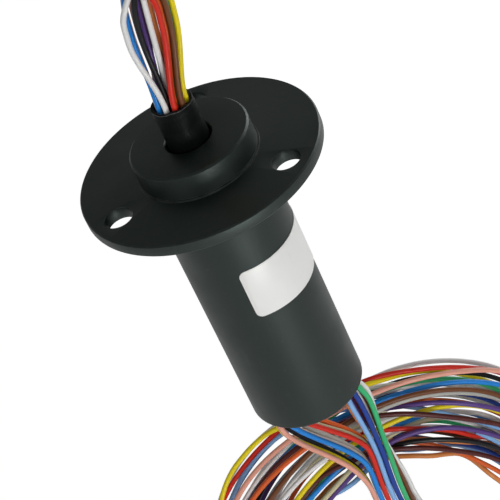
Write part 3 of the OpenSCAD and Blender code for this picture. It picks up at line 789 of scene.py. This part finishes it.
def makeSleeve(f):
    def radius(z):
        k = (z - f["low"]) / (f["top"] - f["low"])
        r = f["foot"] + (f["rim"] - f["foot"]) * k
        r -= f["waist"] * math.exp(-((z - f["waistAt"]) / 1.3) ** 2)
        return r + f["beadHigh"] * math.exp(-((z - f["bead"]) / 0.22) ** 2)
    steps, high = f["steps"], f["top"] - 0.12 - f["low"]
    heights = [f["low"] + high * k / steps for k in range(steps + 1)]
    outer = [(radius(z), z) for z in heights]
    inner = f["rim"] - f["wall"]
    rings = outer + [(f["rim"] - 0.16, f["top"]), (inner + 0.12, f["top"] - 0.02), (inner, f["top"] - 0.2),
                     (inner, f["top"] - 1.4), (inner, f["neckTop"]), (f["neck"], f["neckTop"] - 0.02),
                     (f["neck"], f["low"])]
    sleeve = turned("leadSleeve", rings, sides=128)
    for v in sleeve.data.vertices:      # ragged cut and soft dents
        a = math.atan2(v.co.y, v.co.x)
        z = v.co.z / mm
        jag = math.sin(3 * a + 0.6) + 0.6 * math.sin(7 * a + 2) + 0.3 * math.sin(13 * a) * math.sin(2 * a)
        v.co.z += (f["uneven"] * jag - 0.1) * smooth((z - 11.9) / 1.1) * mm
        dent = f["dents"] * (math.sin(2 * a + z * 0.7) + 0.6 * math.sin(5 * a - z * 1.1))
        if z > 3:
            v.co.xy *= 1 + dent / 3.8 * smooth((z - 3) / 3)
    smoothed(sleeve, 50)
    finishPiece(sleeve, "shrinkBlack", "rotor", "shrink_sleeve", "lead_sleeve")


makeSleeve(sleeveFacts)


poolFacts = {"low": 7.02, "top": 12.12, "radius": 3.14, "sides": 64, "lumps": 0.12, "rings": 7}


def makePool(f):    # sealing resin in the sleeve, with an uneven skin
    low, top = f["low"], f["top"]
    clear()
    bpy.ops.mesh.primitive_circle_add(
        vertices=f["sides"], radius=f["radius"] * mm, fill_type="NGON", location=(0, 0, low * mm))
    pool = bpy.context.object
    pool.name = "sleeveResin"
    settle(pool)
    bpy.ops.object.mode_set(mode="EDIT")
    bpy.ops.mesh.select_all(action="SELECT")
    bpy.ops.mesh.extrude_region_move(TRANSFORM_OT_translate={"value": (0, 0, (top - low) * mm)})
    for k in range(f["rings"]):
        bpy.ops.mesh.inset(thickness=0.16 * (1 + 0.5 * k) * mm)
    bpy.ops.mesh.select_all(action="SELECT")
    bpy.ops.mesh.normals_make_consistent(inside=False)
    bpy.ops.object.mode_set(mode="OBJECT")
    for v in pool.data.vertices:
        if abs(v.co.z / mm - top) < 0.01:
            x, y = v.co.x / mm, v.co.y / mm
            v.co.z += f["lumps"] * (math.sin(2.1 * x + 0.4) * math.sin(1.7 * y + 1) - 0.3) * mm
    smoothed(pool, 60)
    finishPiece(pool, "blackResin", "rotor", "sealing_resin", "sleeve_resin")


makePool(poolFacts)
stage("sleeve")

# blank label: a flat film with round corners, wrapped round the housing
labelFacts = {
    "high": 10.8, "thick": 0.12, "top": -18.1, "round": 1.3,
    "from": -103.5, "sweep": 124,            # degrees round the housing
    "glue": 0.01, "strips": 72,
}


def makeLabel(f):
    body = housingFacts["body"] / 2
    r = body + f["glue"]
    wide = math.radians(f["sweep"]) * (body + f["thick"])
    clear()
    bpy.ops.mesh.primitive_plane_add(size=1, location=(0, 0, 0), rotation=(math.radians(90), 0, 0))
    label = bpy.context.object
    label.name = "label"
    label.scale = (wide * mm, f["high"] * mm, 1)
    settle(label)
    bpy.ops.object.mode_set(mode="EDIT")
    bpy.ops.mesh.select_all(action="SELECT")
    bpy.ops.mesh.bevel(offset=f["round"] * mm, segments=8, affect="VERTICES")
    for k in range(1, f["strips"]):
        bpy.ops.mesh.select_all(action="SELECT")
        bpy.ops.mesh.bisect(plane_co=((k / f["strips"] - 0.5) * wide * mm, 0, 0), plane_no=(1, 0, 0))
    bpy.ops.object.mode_set(mode="OBJECT")
    for v in label.data.vertices:
        a = math.radians(f["from"] + f["sweep"] / 2) + v.co.x / mm / (body + f["thick"])
        v.co = Vector((r * math.cos(a), r * math.sin(a), v.co.z / mm + f["top"] - f["high"] / 2)) * mm
    bpy.ops.object.mode_set(mode="EDIT")
    bpy.ops.mesh.select_all(action="SELECT")
    bpy.ops.mesh.normals_make_consistent(inside=False)
    bpy.ops.object.mode_set(mode="OBJECT")
    if sum(p.center.xy.dot(p.normal.xy) for p in label.data.polygons) < 0:      # its face must look outwards
        label.data.flip_normals()
    modify(label, "SOLIDIFY", thickness=f["thick"] * mm, offset=1)
    modify(label, "BEVEL", width=0.03 * mm, segments=2, limit_method="ANGLE", angle_limit=math.radians(50))
    smoothed(label, 30)
    finishPiece(label, "labelFilm", "stator", "label_film", "label")


makeLabel(labelFacts)
stage("label")

# strap ties round the coil and the hank
tieFacts = {
    "wide": 2.6, "thick": 0.9, "head": (4.6, 3.4, 3.2), "tail": 7,
    "coil": (5.3, 4.3), "hank": (7.4, 5.4),      # half the opening of each loop
}


def makeTie(name, half, f=tieFacts):    # a strap loop about the Z axis, with its head and cut tail
    clear()
    bpy.ops.mesh.primitive_cylinder_add(vertices=72, radius=1 * mm, depth=f["wide"] * mm, end_fill_type="NOTHING")
    loop = bpy.context.object
    loop.name = name
    loop.scale = (half[0], half[1], 1)
    settle(loop)
    modify(loop, "SOLIDIFY", thickness=f["thick"] * mm, offset=1)
    clear()
    hx, hy, hz = f["head"]
    bpy.ops.mesh.primitive_cube_add(size=1, location=(0, (half[1] + hy / 2 - 0.3) * mm, 0))
    head = bpy.context.object
    head.scale = (hx * mm, hy * mm, hz * mm)
    settle(head)
    bpy.ops.object.mode_set(mode="EDIT")
    bpy.ops.mesh.select_all(action="DESELECT")
    bpy.ops.object.mode_set(mode="OBJECT")
    for p in head.data.polygons:
        p.select = p.normal.x > 0.9
    bpy.ops.object.mode_set(mode="EDIT")
    bpy.ops.mesh.select_mode(type="FACE")
    bpy.ops.mesh.inset(thickness=0.7 * mm)
    bpy.ops.mesh.extrude_region_move(TRANSFORM_OT_translate={"value": (f["tail"] * 0.5 * mm, 0, 0)})
    bpy.ops.mesh.extrude_region_move(TRANSFORM_OT_translate={"value": (f["tail"] * 0.5 * mm, -0.8 * mm, 0)})
    bpy.ops.object.mode_set(mode="OBJECT")
    softened(head, 0.25)
    softened(loop, 0.15)
    bpy.ops.object.select_all(action="DESELECT")
    head.select_set(True)
    loop.select_set(True)
    bpy.context.view_layer.objects.active = loop
    bpy.ops.object.join()
    smoothed(loop, 40)
    return loop


def placed(obj, turn, at):
    obj.matrix_world = Matrix.Translation(Vector(at) * mm) @ turn
    settle(obj)


def quarter(axis):
    return Matrix.Rotation(math.radians(90), 4, axis)


coilTie = makeTie("coilTie", tieFacts["coil"])
# a loop about X at the coil's foot, its long way upright
placed(coilTie, quarter("Z") @ quarter("X") @ quarter("Z"),
       Vector(coilFacts["centre"]) - Vector((0, 0, coilFacts["radius"])))
finishPiece(coilTie, "blackNylon", "stator", "tie_plastic", "coil_tie")
hankTie = makeTie("hankTie", tieFacts["hank"])
placed(hankTie, Matrix.Identity(4), hankFacts["centre"])
finishPiece(hankTie, "blackNylon", "rotor", "tie_plastic", "hank_tie")
stage("ties")

# the parts left as they come, with their own finishes
kept = {
    "mattBlack": ["end_cap"],
    "blackResin": ["outlet_resin"],
    "ivoryCore": ["brush_block_left", "brush_block_right", "ring_core"],
    "goldAlloy": ["brush_wires_left", "brush_wires_right", "contact_rings"],
    "bearingSteel": ["front_bearing_outer", "front_bearing_inner", "rear_bearing_outer", "rear_bearing_inner",
                     "rotor_shaft", "retaining_ring"],
    "cageBronze": ["front_ball_cage", "rear_ball_cage"],
}
for material, names in kept.items():
    for name in names:
        dress(nodes[name], material)

# floor and light
lightFacts = {
    "world": 0.2,
    "mirror": 0.03,          # what mirrors see of the white room beyond that
    "floor": 0.8, "floorRough": 0.9, "floorSize": 6,
    "floorSeen": 0.68, "floorMirror": 0.35,      # white that the camera, and that mirrors, see in the floor
    "lamps": [      # place, aim, size, power
        ((0.35, -0.9, 0.16), (0, 0, -0.03), 0.9, 2.5),
        ((0.055, -0.36, -0.125), (0, 0, -0.03), 0.12, 0.6),
        ((-0.75, -0.7, 0.2), (0, 0, -0.04), 0.8, 1.6),
        ((0.65, 0.5, 0.2), (0, 0, -0.04), 0.45, 2.9),
    ],
}


def whiteSeen(tree, shade, share, mirror):    # adds white for camera, mirror and glass rays only
    path = add(tree, "ShaderNodeLightPath").outputs
    a = add(tree, "ShaderNodeMath", {0: path["Is Glossy Ray"], 1: mirror}, operation="MULTIPLY")
    b = add(tree, "ShaderNodeMath", {0: path["Is Camera Ray"], 1: path["Is Transmission Ray"]}, operation="MAXIMUM")
    c = add(tree, "ShaderNodeMath", {0: b.outputs[0], 1: share, 2: a.outputs[0]}, operation="MULTIPLY_ADD")
    light = add(tree, "ShaderNodeEmission", {"Color": (1, 1, 1, 1), "Strength": c.outputs[0]})
    return add(tree, "ShaderNodeAddShader", {0: shade, 1: light.outputs[0]}).outputs[0]


def makeStage(f):
    clear()
    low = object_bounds()[0].z
    bpy.ops.mesh.primitive_plane_add(size=f["floorSize"], location=(0, 0, low - 0.5 * mm))
    floor = bpy.context.object
    floor.name = "floor"
    settle(floor)
    m = bpy.data.materials.new("paleFloor")
    m.use_nodes = True
    skin = m.node_tree.nodes["Principled BSDF"]
    skin.inputs["Base Color"].default_value = (f["floor"], f["floor"], f["floor"], 1)
    skin.inputs["Roughness"].default_value = f["floorRough"]
    seen = whiteSeen(m.node_tree, skin.outputs[0], f["floorSeen"], f["floorMirror"])
    m.node_tree.links.new(seen, m.node_tree.nodes["Material Output"].inputs["Surface"])
    floor.data.materials.append(m)
    floor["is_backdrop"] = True
    world = bpy.data.worlds.new("softRoom")
    scene.world = world
    world.use_nodes = True
    tree = world.node_tree
    base = tree.nodes["Background"]
    base.inputs["Color"].default_value = (1, 1, 1, 1)
    path = add(tree, "ShaderNodeLightPath").outputs
    seen = add(tree, "ShaderNodeMath", {0: path["Is Camera Ray"], 1: path["Is Transmission Ray"]},
               operation="MAXIMUM")
    mirrored = add(tree, "ShaderNodeMath", {0: path["Is Glossy Ray"], 1: f["mirror"], 2: f["world"]},
                   operation="MULTIPLY_ADD")
    level = add(tree, "ShaderNodeMath", {0: seen.outputs[0], 1: mirrored.outputs[0]}, operation="MAXIMUM")
    tree.links.new(level.outputs[0], base.inputs["Strength"])
    for k, (place, aim, size, power) in enumerate(f["lamps"]):
        data = bpy.data.lights.new(f"softLamp{k}", "AREA")
        data.size, data.energy = size, power
        lamp = bpy.data.objects.new(data.name, data)
        scene.collection.objects.link(lamp)
        lamp.visible_camera = False
        look = Vector(aim) - Vector(place)
        lamp.matrix_world = Matrix.Translation(place) @ look.to_track_quat("-Z", "Y").to_matrix().to_4x4()
    scene.view_settings.view_transform = "Standard"


makeStage(lightFacts)
stage("floor and light")
